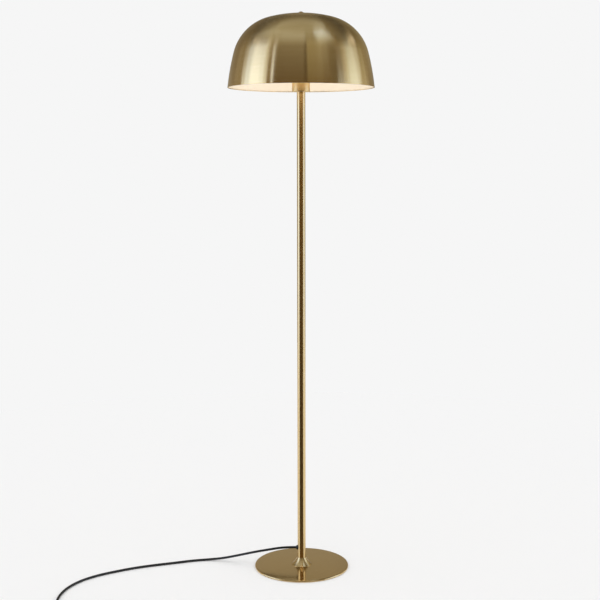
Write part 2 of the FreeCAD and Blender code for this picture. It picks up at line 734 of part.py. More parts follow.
def switch_base():
    body = stadium(SWITCH_L, SWITCH_W, 0, SWITCH_BASE_H)
    body = softened(body, SWITCH_WALL / 2, 0)
    inside = stadium(SWITCH_L - 2 * SWITCH_WALL, SWITCH_W - 2 * SWITCH_WALL, SWITCH_FLOOR, SWITCH_BASE_H)
    cuts, posts = [], []
    for place in SCREW_PLACES:
        posts.append(cylinder_at(place, SCREW_BOSS_R, SWITCH_FLOOR / 2, SWITCH_BASE_H - SWITCH_FLOOR / 2))
        cuts.append(cylinder_at(place, SWITCH_SCREW_HEAD_R + FIT, 0, SCREW_HEAD_Z))
        cuts.append(cylinder_at(place, SWITCH_SCREW_R + FIT, 0, SWITCH_BASE_H))
    return body.cut(inside).fuse(posts).cut(cuts).removeSplitter()


def switch_cover():
    low = SWITCH_BASE_H
    body = softened(stadium(SWITCH_L, SWITCH_W, low, SWITCH_COVER_H), SWITCH_EDGE, SWITCH_H)
    roof = SWITCH_COVER_H - SWITCH_WALL
    inside = stadium(SWITCH_L - 2 * SWITCH_WALL, SWITCH_W - 2 * SWITCH_WALL, low, roof)
    inside = softened(inside, SWITCH_EDGE - SWITCH_WALL, low + roof)
    hole = cylinder_at(SWITCH_AT, BUTTON_R + CLEAR, low, 2 * SWITCH_COVER_H)
    posts = [cylinder_at(p, SCREW_BOSS_R, low, roof + SWITCH_WALL / 2) for p in SCREW_PLACES]
    threads = [cylinder_at(p, SWITCH_SCREW_R + FIT, low, SWITCH_SCREW_L) for p in SCREW_PLACES]
    bars = [post.common(body) for post in posts]
    return body.cut(inside).fuse(bars).cut([hole] + threads).removeSplitter()


def switch_button():
    x, y = SWITCH_AT
    flange, inner = BUTTON_R + BUTTON_FLANGE, BUTTON_R - BUTTON_WALL
    roof = BUTTON_TOP - BUTTON_WALL
    corner = (BUTTON_R - BUTTON_EDGE, BUTTON_TOP - BUTTON_EDGE)
    button = turned((inner, BUTTON_FLANGE_Z), (flange, BUTTON_FLANGE_Z),
                    (flange, BUTTON_FLANGE_Z + BUTTON_FLANGE_T),
                    (BUTTON_R, BUTTON_FLANGE_Z + BUTTON_FLANGE_T), (BUTTON_R, corner[1]),
                    bend(corner, BUTTON_EDGE, 0, 90), (0, BUTTON_TOP), (0, roof), (inner, roof))
    button.translate(Vector(x, y, 0))
    return button


def switch_spring():
    """A compression spring between the base's floor and the button's roof."""
    low, high = SWITCH_FLOOR + SPRING_WIRE_R, BUTTON_TOP - BUTTON_WALL - SPRING_WIRE_R
    rate = (high - low) / (SPRING_TURNS * 2 * math.pi)
    x, y = SWITCH_AT

    def place(turn):
        return Vector(x + SPRING_R * math.cos(turn), y + SPRING_R * math.sin(turn), low + rate * turn)

    def heading(turn):
        return Vector(-SPRING_R * math.sin(turn), SPRING_R * math.cos(turn), rate).normalize()

    path = Part.Wire(winding(place, heading, 0, SPRING_TURNS * 2 * math.pi, math.pi))
    gap = least_gap(path, SPRING_WIRE_R, 0.5, math.pi * SPRING_R)
    print(f"switch_spring: least gap between turns {gap:.2f}")
    return piped(path, SPRING_WIRE_R)


def switch_screws():
    pair = []
    for place in SCREW_PLACES:
        head = cylinder_at(place, SWITCH_SCREW_HEAD_R, SWITCH_FLOOR, SWITCH_SCREW_HEAD_T)
        shank = cylinder_at(place, SWITCH_SCREW_R, SWITCH_FLOOR, SWITCH_SCREW_L)
        pair.append(head.fuse(shank).removeSplitter())
    return Part.makeCompound(pair)


def switch_reliefs():
    """A ribbed collar round the cord at each end of the switch, its foot shaped to the shell."""
    rib = RELIEF_L / (2 * RELIEF_RIBS)
    steps = []
    for i in range(RELIEF_RIBS):
        steps += [(RELIEF_R, 2 * i * rib), (RELIEF_R, (2 * i + 1) * rib),
                  (RELIEF_WAIST_R, (2 * i + 1) * rib), (RELIEF_WAIST_R, 2 * (i + 1) * rib)]
    bore = CORD_R + FIT
    outline = [(bore, -SWITCH_WALL), (RELIEF_R, -SWITCH_WALL), *steps[1:], (bore, RELIEF_L)]
    shell = stadium(SWITCH_L + 2 * FIT, SWITCH_W + 2 * FIT, 0, SWITCH_BASE_H)
    pair = []
    for side in (-1, 1):
        place = (SWITCH_AT[0] + side * SWITCH_L / 2, SWITCH_AT[1], COIL_LOW)
        pair.append(along_x(turned(*outline), place, side).cut(shell))
    return Part.makeCompound(pair)


# ---------------------------------------------------------------- coil, tie and plug
def cord_coil():
    """One tube: in from the switch, round and inwards, up a layer, and out again towards the plug."""
    level = COIL_LOW
    x, y = COIL_X, COIL_Y + COIL_OUTER_R
    edges = [Part.makeLine(Vector(x - COIL_RUN, y, level), Vector(x, y, level))]
    climb = COIL_HALF_TURNS // 2
    for k in range(COIL_HALF_TURNS):
        radius = COIL_OUTER_R - COIL_PITCH / 2 * min(k, COIL_HALF_TURNS - 1 - k)
        side = 1 if k % 2 == 0 else -1
        centre = y - side * radius
        if k == climb:
            def place(turn):
                return Vector(x + side * radius * math.sin(turn), centre + side * radius * math.cos(turn),
                              level + COIL_PITCH * (1 - math.cos(turn)) / 2)

            def heading(turn):
                return Vector(side * radius * math.cos(turn), -side * radius * math.sin(turn),
                              COIL_PITCH / 2 * math.sin(turn)).normalize()

            edges += winding(place, heading, 0, math.pi, math.pi / 2)
            level = COIL_HIGH
        else:
            edges.append(Part.Arc(Vector(x, y, level), Vector(x + side * radius, centre, level),
                                  Vector(x, y - 2 * side * radius, level)).toShape())
        y -= 2 * side * radius
    edges.append(Part.makeLine(Vector(x, y, level), Vector(x - COIL_END_RUN, y, level)))
    path = Part.Wire(edges)
    solid = piped(path, CORD_R)
    share = solid.Volume / (math.pi * CORD_R**2 * path.Length)
    gap = least_gap(path, CORD_R, 2.0, math.pi * COIL_OUTER_R / 2)
    print(f"cord_coil: {path.Length:.1f} long, volume {share:.4f} of section times length,"
          f" least gap to itself {gap:.2f}")
    return solid


def coil_tie():
    """A strap round the bundle on the side of the coil that faces the switch."""
    right = COIL_OUTER_R - COIL_PITCH / 2 * (COIL_HALF_TURNS // 2 - 1)
    left = COIL_OUTER_R - COIL_PITCH / 2
    spread = CORD_R + TIE_GAP
    inner_x = (COIL_X - left - spread, COIL_X - right + spread + COIL_PITCH / 4)
    inner_z = (COIL_LOW - spread, COIL_HIGH + spread)
    rings = []
    for grow in (TIE_T, 0):
        low, high = (inner_x[0] - grow, inner_z[0] - grow), (inner_x[1] + grow, inner_z[1] + grow)
        rings.append(Part.makeBox(high[0] - low[0], TIE_W, high[1] - low[1],
                                  Vector(low[0], COIL_Y - TIE_W / 2, low[1])))
    return rings[0].cut(rings[1])


def plug_body():
    """Moulded body, widest at the pins, with a ribbed boot where the cord goes in."""
    x, y, z = PLUG_AT
    back, front = x - BOOT_L, x - BOOT_L - PLUG_L
    plan = [(back, PLUG_BACK_W / 2), (front + PLUG_SIDE_L, PLUG_W / 2), (front, PLUG_W / 2)]
    plan += [(a, -b) for a, b in reversed(plan)]
    points = [Vector(a, y + b, z - PLUG_T / 2) for a, b in plan + plan[:1]]
    body = Part.Face(Part.makePolygon(points)).extrude(Vector(0, 0, PLUG_T))
    body = body.makeFillet(PLUG_EDGE, [e for e in body.Edges if e.BoundBox.XMax > front + 1e-6])
    steps = [(BOOT_END_R, 0)]
    rib = BOOT_L / (2 * BOOT_RIBS)
    for i in range(BOOT_RIBS):
        radius = BOOT_END_R + (BOOT_R - BOOT_END_R) * (i + 1) / BOOT_RIBS
        waist = radius - (BOOT_END_R - CORD_R) / 2
        steps += [(radius, 2 * i * rib), (radius, (2 * i + 1) * rib),
                  (waist, (2 * i + 1) * rib), (waist, (2 * i + 2) * rib)]
    steps += [(steps[-1][0], BOOT_L + PLUG_EDGE), (0, BOOT_L + PLUG_EDGE), (0, 0)]
    boot = along_x(turned(steps[1], *steps[2:]), PLUG_AT, -1)
    pins = [Part.makeCylinder(PIN_ROOT_R + FIT, PIN_IN_BODY, Vector(front, y + s * PIN_SPACING / 2, z),
                              Vector(1, 0, 0)) for s in (-1, 1)]
    return body.fuse(boot).cut(pins).removeSplitter()


def plug_pins():
    """Two round pins with domed tips; a thinner root, moulded in, starts just off the body."""
    x, y, z = PLUG_AT
    tip = x - BOOT_L - PLUG_L - PIN_L
    pair = []
    for side in (-1, 1):
        pin = turned((0, 0), bend((0, PIN_R), PIN_R, 270, 360), (PIN_R, PIN_L - CLEAR),
                     (PIN_ROOT_R, PIN_L - CLEAR), (PIN_ROOT_R, PIN_L + PIN_IN_BODY),
                     (0, PIN_L + PIN_IN_BODY))
        pair.append(along_x(pin, (tip, y + side * PIN_SPACING / 2, z)))
    return Part.makeCompound(pair)


# ---------------------------------------------------------------- the lamp
PIECES = {
    "base_plate": base_plate,
    "base_pad": base_pad,
    "base_bolt": base_bolt,
    "pole_foot": pole_foot,
    "foot_flare": foot_flare,
    "pole_lower": pole_lower,
    "pole_middle": lambda: pole_section(1),
    "pole_upper": lambda: pole_section(2),
    "coupler_lower": lambda: coupler(SEAMS[0]),
    "coupler_upper": lambda: coupler(SEAMS[1]),
    "thread_insert_lower": lambda: thread_insert(SEAMS[0]),
    "thread_insert_upper": lambda: thread_insert(SEAMS[1]),
    "pole_top_plug": pole_top_plug,
    "cord_bush": cord_bush,
    "inner_cable": inner_cable,
    "lamp_cup": lamp_cup,
    "nipple": nipple,
    "lock_nut": lock_nut,
    "holder_cap": holder_cap,
    "holder_deck": holder_deck,
    "holder_skirt": holder_skirt,
    "holder_sleeve": holder_sleeve,
    "holder_contact": holder_contact,
    "bulb_contact": bulb_contact,
    "bulb_insulator": bulb_insulator,
    "bulb_cap": bulb_cap,
    "bulb_glass": bulb_glass,
    "harp_saddle": harp_saddle,
    "harp_ferrules": harp_ferrules,
    "harp": harp,
    "harp_stud": harp_stud,
    "shade": shade,
    "shade_washer": shade_washer,
    "finial_nut": finial_nut,
    "cord_lead": lambda: cord("cord_lead", LEAD_ROUTE),
    "switch_base": switch_base,
    "switch_cover": switch_cover,
    "switch_button": switch_button,
    "switch_spring": switch_spring,
    "switch_screws": switch_screws,
    "switch_reliefs": switch_reliefs,
    "cord_coil": cord_coil,
    "coil_tie": coil_tie,
    "cord_tail": lambda: cord("cord_tail", TAIL_ROUTE),
    "plug_body": plug_body,
    "plug_pins": plug_pins,
}

os.makedirs("parts", exist_ok=True)
for name, make in PIECES.items():
    make().exportStep(f"parts/{name}.step")
print(len(PIECES), "pieces")
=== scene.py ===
import math

import bmesh
import bpy
from mathutils import Matrix, Vector


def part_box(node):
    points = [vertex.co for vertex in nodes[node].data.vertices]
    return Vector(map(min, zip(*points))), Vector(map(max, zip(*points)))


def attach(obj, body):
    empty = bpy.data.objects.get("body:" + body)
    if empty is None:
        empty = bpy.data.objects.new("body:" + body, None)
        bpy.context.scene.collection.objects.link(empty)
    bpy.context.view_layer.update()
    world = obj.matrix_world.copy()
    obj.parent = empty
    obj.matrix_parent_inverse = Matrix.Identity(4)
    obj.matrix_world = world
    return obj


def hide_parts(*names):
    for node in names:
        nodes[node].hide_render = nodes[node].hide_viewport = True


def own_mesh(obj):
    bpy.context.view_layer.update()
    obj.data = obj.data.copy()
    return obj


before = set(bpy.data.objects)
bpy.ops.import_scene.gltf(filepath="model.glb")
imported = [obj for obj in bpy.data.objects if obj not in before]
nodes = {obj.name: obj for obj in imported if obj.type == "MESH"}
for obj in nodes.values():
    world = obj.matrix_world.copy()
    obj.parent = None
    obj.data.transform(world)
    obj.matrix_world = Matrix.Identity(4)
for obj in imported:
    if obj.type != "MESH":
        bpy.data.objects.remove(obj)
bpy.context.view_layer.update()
scene = bpy.context.scene
scene.view_settings.view_transform = "Standard"

# ------------------------------------------------------------------ camera
# The photograph was taken from 2.8 m away, a little above half the lamp's height, with the
# camera tipped down by 7.1 degrees and rolled by a twelfth of a degree.
CAMERA_AT = (-0.0033, -2.797, 1.0431)
CAMERA_DOWN = 7.104
CAMERA_ROLL = -0.081
FOCAL_PIXELS = 1118.3
IMAGE_PIXELS = 600

lens = bpy.data.cameras.new("camera")
lens.sensor_width = 36
lens.lens = FOCAL_PIXELS * lens.sensor_width / IMAGE_PIXELS
lens.clip_end = 50
camera = bpy.data.objects.new("camera", lens)
camera.matrix_world = (
    Matrix.Translation(CAMERA_AT)
    @ Matrix.Rotation(math.radians(90 - CAMERA_DOWN), 4, "X")
    @ Matrix.Rotation(math.radians(CAMERA_ROLL), 4, "Z")
)
scene.collection.objects.link(camera)
scene.camera = camera


# ------------------------------------------------------------------ mains cord
# A round black two-core cord, extruded PVC, 2.0 m long. It leaves the bush in the pole, lies in
# a loose curve on the floor, passes the foot switch, and its spare length is a tied coil.
def linear(code):
    """An sRGB hex colour as linear RGBA."""
    parts = [int(code[i:i + 2], 16) / 255 for i in (1, 3, 5)]
    return [p / 12.92 if p <= 0.04045 else ((p + 0.055) / 1.055) ** 2.4 for p in parts] + [1]


def add(tree, kind, settings=(), values=(), links=()):
    """Adds a node with its settings, its sockets' values and its links from other sockets."""
    node = tree.nodes.new(kind)
    for key, value in dict(settings).items():
        setattr(node, key, value)
    for key, value in dict(values).items():
        node.inputs[key].default_value = value
    for key, source in dict(links).items():
        tree.links.new(source, node.inputs[key])
    return node


def finish_material(name, shader_values, links=()):
    """A new material with one Principled shader; links may be a function of its tree."""
    material = bpy.data.materials.new(name)
    material.use_nodes = True
    tree = material.node_tree
    tree.nodes.clear()
    sources = links(tree) if links else {}
    shader = add(tree, "ShaderNodeBsdfPrincipled", values=shader_values, links=sources)
    add(tree, "ShaderNodeOutputMaterial", links={"Surface": shader.outputs["BSDF"]})
    return material


def dress(node, material):
    """Gives a CAD node one material."""
    mesh = nodes[node].data
    mesh.materials.clear()
    mesh.materials.append(material)


def sheath_grain(tree):
    """Faint die lines and dust along an extruded sheath: grain 0.6 mm across."""
    place = add(tree, "ShaderNodeTexCoord").outputs["Object"]
    dust = add(tree, "ShaderNodeTexNoise", values={"Scale": 1 / 0.0006, "Detail": 3},
               links={"Vector": place})
    rough = add(tree, "ShaderNodeMapRange", values={"To Min": 0.42, "To Max": 0.58},
                links={"Value": dust.outputs["Fac"]})
    bump = add(tree, "ShaderNodeBump", values={"Strength": 0.15, "Distance": 0.0001},
               links={"Height": dust.outputs["Fac"]})
    return {"Roughness": rough.outputs["Result"], "Normal": bump.outputs["Normal"]}


CORD_ACROSS = 0.006
SWITCH_ENTRY = (-0.470, -0.348, 0.0042)
SWITCH_LENGTH = 0.084
COIL_RUN = 0.052
COIL_RADIUS = 0.0385
COIL_PITCH = 0.0065
COIL_HALF_TURNS = 9
POINTS_PER_HALF_TURN = 8

# Extruded PVC: nearly black, a dull sheen along the top of the curve
cord_pvc = finish_material("extruded_black_pvc", {"Base Color": linear("#141414"), "IOR": 1.53},
                           sheath_grain)

route = [
    (-0.0145, 0, 0.049), (-0.046, 0, 0.049), (-0.082, 0.002, 0.0426), (-0.122, 0.007, 0.034),
    (-0.165, 0.018, 0.021), (-0.205, 0.031, 0.0085), (-0.241, 0.037, 0.00305),
    (-0.286, 0.028, 0.00305), (-0.335, 0.010, 0.00305), (-0.385, -0.006, 0.00305),
    (-0.431, -0.025, 0.00305), (-0.474, -0.049, 0.00305), (-0.517, -0.077, 0.00305),
    (-0.552, -0.113, 0.00305), (-0.575, -0.157, 0.00305), (-0.585, -0.205, 0.00305),
    (-0.583, -0.254, 0.00305), (-0.565, -0.299, 0.00305), (-0.531, -0.333, 0.00305),
    (-0.498, -0.348, 0.0042), SWITCH_ENTRY,
    (SWITCH_ENTRY[0] + SWITCH_LENGTH, *SWITCH_ENTRY[1:]),
    (SWITCH_ENTRY[0] + SWITCH_LENGTH + 0.026, *SWITCH_ENTRY[1:]),
]
coil_x = SWITCH_ENTRY[0] + SWITCH_LENGTH + COIL_RUN
y, z = SWITCH_ENTRY[1:]
for half_turn in range(COIL_HALF_TURNS):
    inward = min(half_turn, COIL_HALF_TURNS - 1 - half_turn)
    radius = COIL_RADIUS - COIL_PITCH / 2 * inward
    reach = radius / math.cos(math.pi / 2 / POINTS_PER_HALF_TURN)
    side = 1 if half_turn % 2 == 0 else -1
    climbs = half_turn == COIL_HALF_TURNS // 2
    for i in range(POINTS_PER_HALF_TURN):
        turn = math.pi * (i + 0.5) / POINTS_PER_HALF_TURN
        lift = COIL_PITCH * (1 - math.cos(turn)) / 2 if climbs else 0
        route.append((coil_x + side * reach * math.sin(turn),
                      y - side * (radius - reach * math.cos(turn)), z + lift))
    y -= 2 * side * radius
    z += COIL_PITCH if climbs else 0
route += [(coil_x - 0.008, y, z), (coil_x - 0.025, y, z), (coil_x - 0.047, y - 0.002, 0.0069),
          (coil_x - 0.067, y - 0.002, 0.0069)]

line = bpy.data.curves.new("mains_cord", "CURVE")
line.dimensions = "3D"
line.bevel_depth = CORD_ACROSS / 2
line.bevel_resolution = 5
line.resolution_u = 8
spline = line.splines.new("NURBS")
spline.points.add(len(route) - 1)
for point, place in zip(spline.points, route):
    point.co = (*place, 1)
spline.order_u = 3
spline.use_endpoint_u = True
line.materials.append(cord_pvc)
mains_cord = bpy.data.objects.new("mains_cord", line)
scene.collection.objects.link(mains_cord)
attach(mains_cord, "lamp")
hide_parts("cord_lead", "cord_coil", "cord_tail")
dress("inner_cable", cord_pvc)

# ------------------------------------------------------------------ base plate
# A round plate cut from 4.5 mm steel, its top edge rounded over, brushed and brass plated. It
# stands on a glued foam pad, and one low-headed bolt from below holds the pole.
TURN_STEPS = 256
BASE_RADIUS = 0.121
BASE_TOP = 0.005
BASE_UNDER = 0.0005
BASE_ROUND = 0.003
BASE_CHAMFER = 0.0004
BOLT_HOLE = 0.0053
BOLT_HEAD_HOLE = 0.0113
BOLT_SEAT = 0.0033
PAD_RECESS = 0.117
PAD_SEAT = 0.0015


def arc(centre, radius, first, last, steps):
    """Points (r, z) along an arc about a centre, between two angles in degrees from the r axis."""
    turns = [math.radians(first + (last - first) * i / steps) for i in range(steps + 1)]
    return [(centre[0] + radius * math.cos(t), centre[1] + radius * math.sin(t)) for t in turns]


def lathe(name, outline, material, sharp=30):
    """A closed piece turned about the Z axis from its outline of (r, z) points, in metres."""
    shape = bmesh.new()
    count = len(outline)
    rings = []
    for step in range(TURN_STEPS):
        turn = 2 * math.pi * step / TURN_STEPS
        rings.append([shape.verts.new((r * math.cos(turn), r * math.sin(turn), z)) for r, z in outline])
    for step in range(TURN_STEPS):
        here, there = rings[step], rings[(step + 1) % TURN_STEPS]
        for i in range(count):
            j = (i + 1) % count
            shape.faces.new((here[i], there[i], there[j], here[j]))
    bmesh.ops.remove_doubles(shape, verts=shape.verts, dist=1e-6)
    bmesh.ops.dissolve_degenerate(shape, edges=shape.edges, dist=1e-7)
    bmesh.ops.recalc_face_normals(shape, faces=shape.faces)
    mesh = bpy.data.meshes.new(name)
    shape.to_mesh(mesh)
    shape.free()
    mesh.shade_smooth()
    mesh.set_sharp_from_angle(angle=math.radians(sharp))
    mesh.materials.append(material)
    piece = bpy.data.objects.new(name, mesh)
    scene.collection.objects.link(piece)
    return piece


def brushed(across, low, high):
    """Brush lines that run round the Z axis, as an across spacing in metres and a roughness range."""
    def build(tree):
        place = add(tree, "ShaderNodeTexCoord").outputs["Object"]
        parts = add(tree, "ShaderNodeSeparateXYZ", links={"Vector": place})
        flat = add(tree, "ShaderNodeCombineXYZ", links={"X": parts.outputs["X"], "Y": parts.outputs["Y"]})
        out = add(tree, "ShaderNodeVectorMath", {"operation": "LENGTH"}, links={0: flat.outputs["Vector"]})
        along = add(tree, "ShaderNodeVectorMath", {"operation": "NORMALIZE"},
                    links={0: flat.outputs["Vector"]})
        turn = add(tree, "ShaderNodeSeparateXYZ", links={"Vector": along.outputs["Vector"]})
        step = add(tree, "ShaderNodeMath", {"operation": "MULTIPLY_ADD"}, {1: 0.6},
                   {0: out.outputs["Value"], 2: parts.outputs["Z"]})
        row = add(tree, "ShaderNodeMath", {"operation": "DIVIDE"}, {1: across}, {0: step.outputs["Value"]})
        where = add(tree, "ShaderNodeCombineXYZ", links={
            "X": turn.outputs["X"], "Y": turn.outputs["Y"], "Z": row.outputs["Value"]})
        lines = add(tree, "ShaderNodeTexNoise", values={"Scale": 1, "Detail": 4, "Roughness": 0.6},
                    links={"Vector": where.outputs["Vector"]})
        rough = add(tree, "ShaderNodeMapRange",
                    values={"From Min": 0.3, "From Max": 0.7, "To Min": low, "To Max": high},
                    links={"Value": lines.outputs["Fac"]})
        tone = add(tree, "ShaderNodeValToRGB", links={"Fac": lines.outputs["Fac"]})
        tone.color_ramp.elements[0].position, tone.color_ramp.elements[1].position = 0.3, 0.7
        tone.color_ramp.elements[0].color = linear(BRASS_IN_GROOVES)
        tone.color_ramp.elements[1].color = linear(BRASS)
        tangent = add(tree, "ShaderNodeTangent", {"direction_type": "RADIAL", "axis": "Z"})
        return {"Base Color": tone.outputs["Color"], "Roughness": rough.outputs["Result"],
                "Tangent": tangent.outputs["Tangent"]}
    return build


BRASS = "#E4C58C"
BRASS_IN_GROOVES = "#DFBF84"

# Brushed brass plate under clear lacquer: the plate's rings are fine, so it mirrors the pole
plate_brass = finish_material(
    "brushed_brass_plating_on_the_base",
    {"Metallic": 1, "Anisotropic": 0.8, "Anisotropic Rotation": 0.25, "Coat Weight": 0.5,
     "Coat Roughness": 0.08},
    brushed(across=0.0025, low=0.15, high=0.17))

corner = (BASE_RADIUS - BASE_ROUND, BASE_TOP - BASE_ROUND)
base_plate = lathe("base_plate_turned", [
    (BOLT_HOLE, BOLT_SEAT), (BOLT_HEAD_HOLE, BOLT_SEAT), (BOLT_HEAD_HOLE, PAD_SEAT), (PAD_RECESS, PAD_SEAT),
    (PAD_RECESS, BASE_UNDER), (BASE_RADIUS - BASE_CHAMFER, BASE_UNDER),
    (BASE_RADIUS, BASE_UNDER + BASE_CHAMFER), *arc(corner, BASE_ROUND, 0, 90, 12),
    (BOLT_HOLE, BASE_TOP)], plate_brass)
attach(base_plate, "lamp")
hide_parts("base_plate")


def foam_grain(tree):
    """Closed cells about 0.8 mm across."""
    place = add(tree, "ShaderNodeTexCoord").outputs["Object"]
    cells = add(tree, "ShaderNodeTexVoronoi", values={"Scale": 1 / 0.0008}, links={"Vector": place})
    shade_of = add(tree, "ShaderNodeValToRGB", links={"Fac": cells.outputs["Distance"]})
    shade_of.color_ramp.elements[0].color = linear("#2A2A2A")
    shade_of.color_ramp.elements[1].color = linear("#141414")
    bump = add(tree, "ShaderNodeBump", values={"Strength": 0.5, "Distance": 0.0002},
               links={"Height": cells.outputs["Distance"]})
    return {"Base Color": shade_of.outputs["Color"], "Normal": bump.outputs["Normal"]}


# Closed-cell foam: dark, matt, with fine pores
dress("base_pad", finish_material("closed_cell_foam", {"Roughness": 0.95}, foam_grain))


def zinc_bloom(tree):
    """Cloudy zinc crystals about 1.5 mm across over a fine turned grain."""
    place = add(tree, "ShaderNodeTexCoord").outputs["Object"]
    cloud = add(tree, "ShaderNodeTexNoise", values={"Scale": 1 / 0.0015, "Detail": 5},
                links={"Vector": place})
    colour = add(tree, "ShaderNodeValToRGB", links={"Fac": cloud.outputs["Fac"]})
    colour.color_ramp.elements[0].position, colour.color_ramp.elements[1].position = 0.3, 0.7
    colour.color_ramp.elements[0].color = linear("#A9ABAC")
    colour.color_ramp.elements[1].color = linear("#C9CACB")
    rough = add(tree, "ShaderNodeMapRange", values={"To Min": 0.28, "To Max": 0.45},
                links={"Value": cloud.outputs["Fac"]})
    return {"Base Color": colour.outputs["Color"], "Roughness": rough.outputs["Result"]}


# Bright zinc plating: pale grey metal with a faint cloudy bloom
zinc = finish_material("bright_zinc_plating", {"Metallic": 1}, zinc_bloom)
for node in ("base_bolt", "pole_foot", "coupler_lower", "coupler_upper", "thread_insert_lower",
             "thread_insert_upper", "pole_top_plug", "lock_nut", "harp_saddle", "harp_ferrules",
             "harp_stud", "switch_screws", "switch_spring"):
    dress(node, zinc)

# ------------------------------------------------------------------ foot collar
# A trumpet collar spun from thin steel and plated like the pole. It slips down over the pole
# and hides its fixing to the plate.
POLE_RADIUS = 0.0105
COLLAR_RADIUS = 0.0264
COLLAR_BORE = POLE_RADIUS + 0.00005

# Brushed brass plate on round parts: lines run round the part, and the light draws out along it
tube_brass = finish_material(
    "brushed_brass_plating_on_the_pole",
    {"Metallic": 1, "Anisotropic": 1.0, "Anisotropic Rotation": 0.25, "Coat Weight": 0.3,
     "Coat Roughness": 0.08},
    brushed(across=0.02, low=0.22, high=0.235))

# Its side is a shallow arc, nearly straight, and its inside runs parallel to it
COLLAR_SWEEP = 0.055
COLLAR_TOP = 0.0185
COLLAR_LIP = 0.0005
COLLAR_EDGE = 0.0005
COLLAR_WALL = 0.0014
top = Vector((COLLAR_BORE + COLLAR_EDGE, BASE_TOP + COLLAR_TOP))
lip = Vector((COLLAR_RADIUS, BASE_TOP + COLLAR_LIP))
side = top - lip
square = Vector((-side.y, side.x)).normalized()
throat = (top + lip) / 2 - square * math.sqrt(COLLAR_SWEEP ** 2 - side.length_squared / 4)
hollow = COLLAR_SWEEP + COLLAR_WALL
lip_turn = 180 + math.degrees(math.asin((throat.y - lip.y) / COLLAR_SWEEP))
top_turn = 180 + math.degrees(math.asin((throat.y - top.y) / COLLAR_SWEEP))
low_turn = 180 + math.degrees(math.asin((throat.y - BASE_TOP) / hollow))
high_turn = 180 + math.degrees(math.acos((throat.x - COLLAR_BORE) / hollow))
foot_collar = lathe("foot_collar", [
    (COLLAR_RADIUS, BASE_TOP), tuple(lip), *arc(throat, COLLAR_SWEEP, lip_turn, top_turn, 40)[1:],
    (COLLAR_BORE, top.y), *arc(throat, hollow, high_turn, low_turn, 24)], tube_brass)
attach(foot_collar, "lamp")
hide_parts("foot_flare")

# ------------------------------------------------------------------ pole
# Three steel tubes of 402 mm, 21 mm across with a 1.2 mm wall, brushed and brass plated. Turned
# studs join them inside, so only a hairline shows at each seam.
POLE_WALL = 0.0012
SECTION = 0.402
SEAM_EASE = 0.00015
RINGS = 12
for index, node in enumerate(("pole_lower", "pole_middle", "pole_upper")):
    low = BASE_TOP + index * SECTION
    high = low + SECTION
    inner = POLE_RADIUS - POLE_WALL
    tube = lathe(node + "_tube", [
        (inner, low), (POLE_RADIUS - SEAM_EASE, low), (POLE_RADIUS, low + SEAM_EASE),
        *[(POLE_RADIUS, low + SECTION * i / RINGS) for i in range(1, RINGS)],
        (POLE_RADIUS, high - SEAM_EASE), (POLE_RADIUS - SEAM_EASE, high), (inner, high)], tube_brass)
    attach(tube, "lamp")
    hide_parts(node)

# ------------------------------------------------------------------ cord bush
# A moulded nylon bush that snaps into the pole's side hole and takes the cord's pull. Its
# flange is dished to the tube, and it tapers to the cord.
def moulded_grain(tree):
    """Spark-eroded mould grain about 0.35 mm across, drawn at 0.6 mm so that it shows."""
    place = add(tree, "ShaderNodeTexCoord").outputs["Object"]
    grain = add(tree, "ShaderNodeTexNoise", values={"Scale": 1 / 0.0006, "Detail": 2},
                links={"Vector": place})
    rough = add(tree, "ShaderNodeMapRange", values={"To Min": 0.38, "To Max": 0.55},
                links={"Value": grain.outputs["Fac"]})
    bump = add(tree, "ShaderNodeBump", values={"Strength": 0.25, "Distance": 0.0001},
               links={"Height": grain.outputs["Fac"]})
    return {"Roughness": rough.outputs["Result"], "Normal": bump.outputs["Normal"]}


# Moulded nylon and ABS: near black, satin, with an even grain
black_abs = finish_material("moulded_black_abs", {"Base Color": linear("#171717"), "IOR": 1.5},
                            moulded_grain)
dress("cord_bush", black_abs)

# ------------------------------------------------------------------ foot switch, plug and tie
# The switch is a two-part ABS shell with a sprung push button; the plug is PVC moulded round
# two nickel-plated brass pins; a nylon strap holds the spare cord.
for node in ("switch_base", "switch_cover", "switch_reliefs", "plug_body", "coil_tie"):
    dress(node, black_abs)


def polished_grain(tree):
    """Faint sink marks about 6 mm across in a polished moulding."""
    place = add(tree, "ShaderNodeTexCoord").outputs["Object"]
    wave = add(tree, "ShaderNodeTexNoise", values={"Scale": 1 / 0.006, "Detail": 2},
               links={"Vector": place})
    rough = add(tree, "ShaderNodeMapRange", values={"To Min": 0.16, "To Max": 0.26},
                links={"Value": wave.outputs["Fac"]})
    return {"Roughness": rough.outputs["Result"]}


# Polished ABS: black with a clean highlight
dress("switch_button", finish_material("polished_black_abs", {"Base Color": linear("#121212"), "IOR": 1.5},
                                       polished_grain))


def nickel_lines(tree):
    """Turning lines 0.15 mm apart, drawn at 0.4 mm."""
    place = add(tree, "ShaderNodeTexCoord").outputs["Object"]
    lines = add(tree, "ShaderNodeTexNoise", values={"Scale": 1 / 0.0004, "Detail": 2},
                links={"Vector": place})
    rough = add(tree, "ShaderNodeMapRange", values={"To Min": 0.12, "To Max": 0.25},
                links={"Value": lines.outputs["Fac"]})
    return {"Roughness": rough.outputs["Result"]}


# Nickel plating: bright, slightly warm white metal
nickel = finish_material("nickel_plating", {"Base Color": linear("#D8D2C6"), "Metallic": 1}, nickel_lines)
dress("plug_pins", nickel)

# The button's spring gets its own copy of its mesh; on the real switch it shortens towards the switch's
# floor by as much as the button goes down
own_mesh(nodes["switch_spring"])

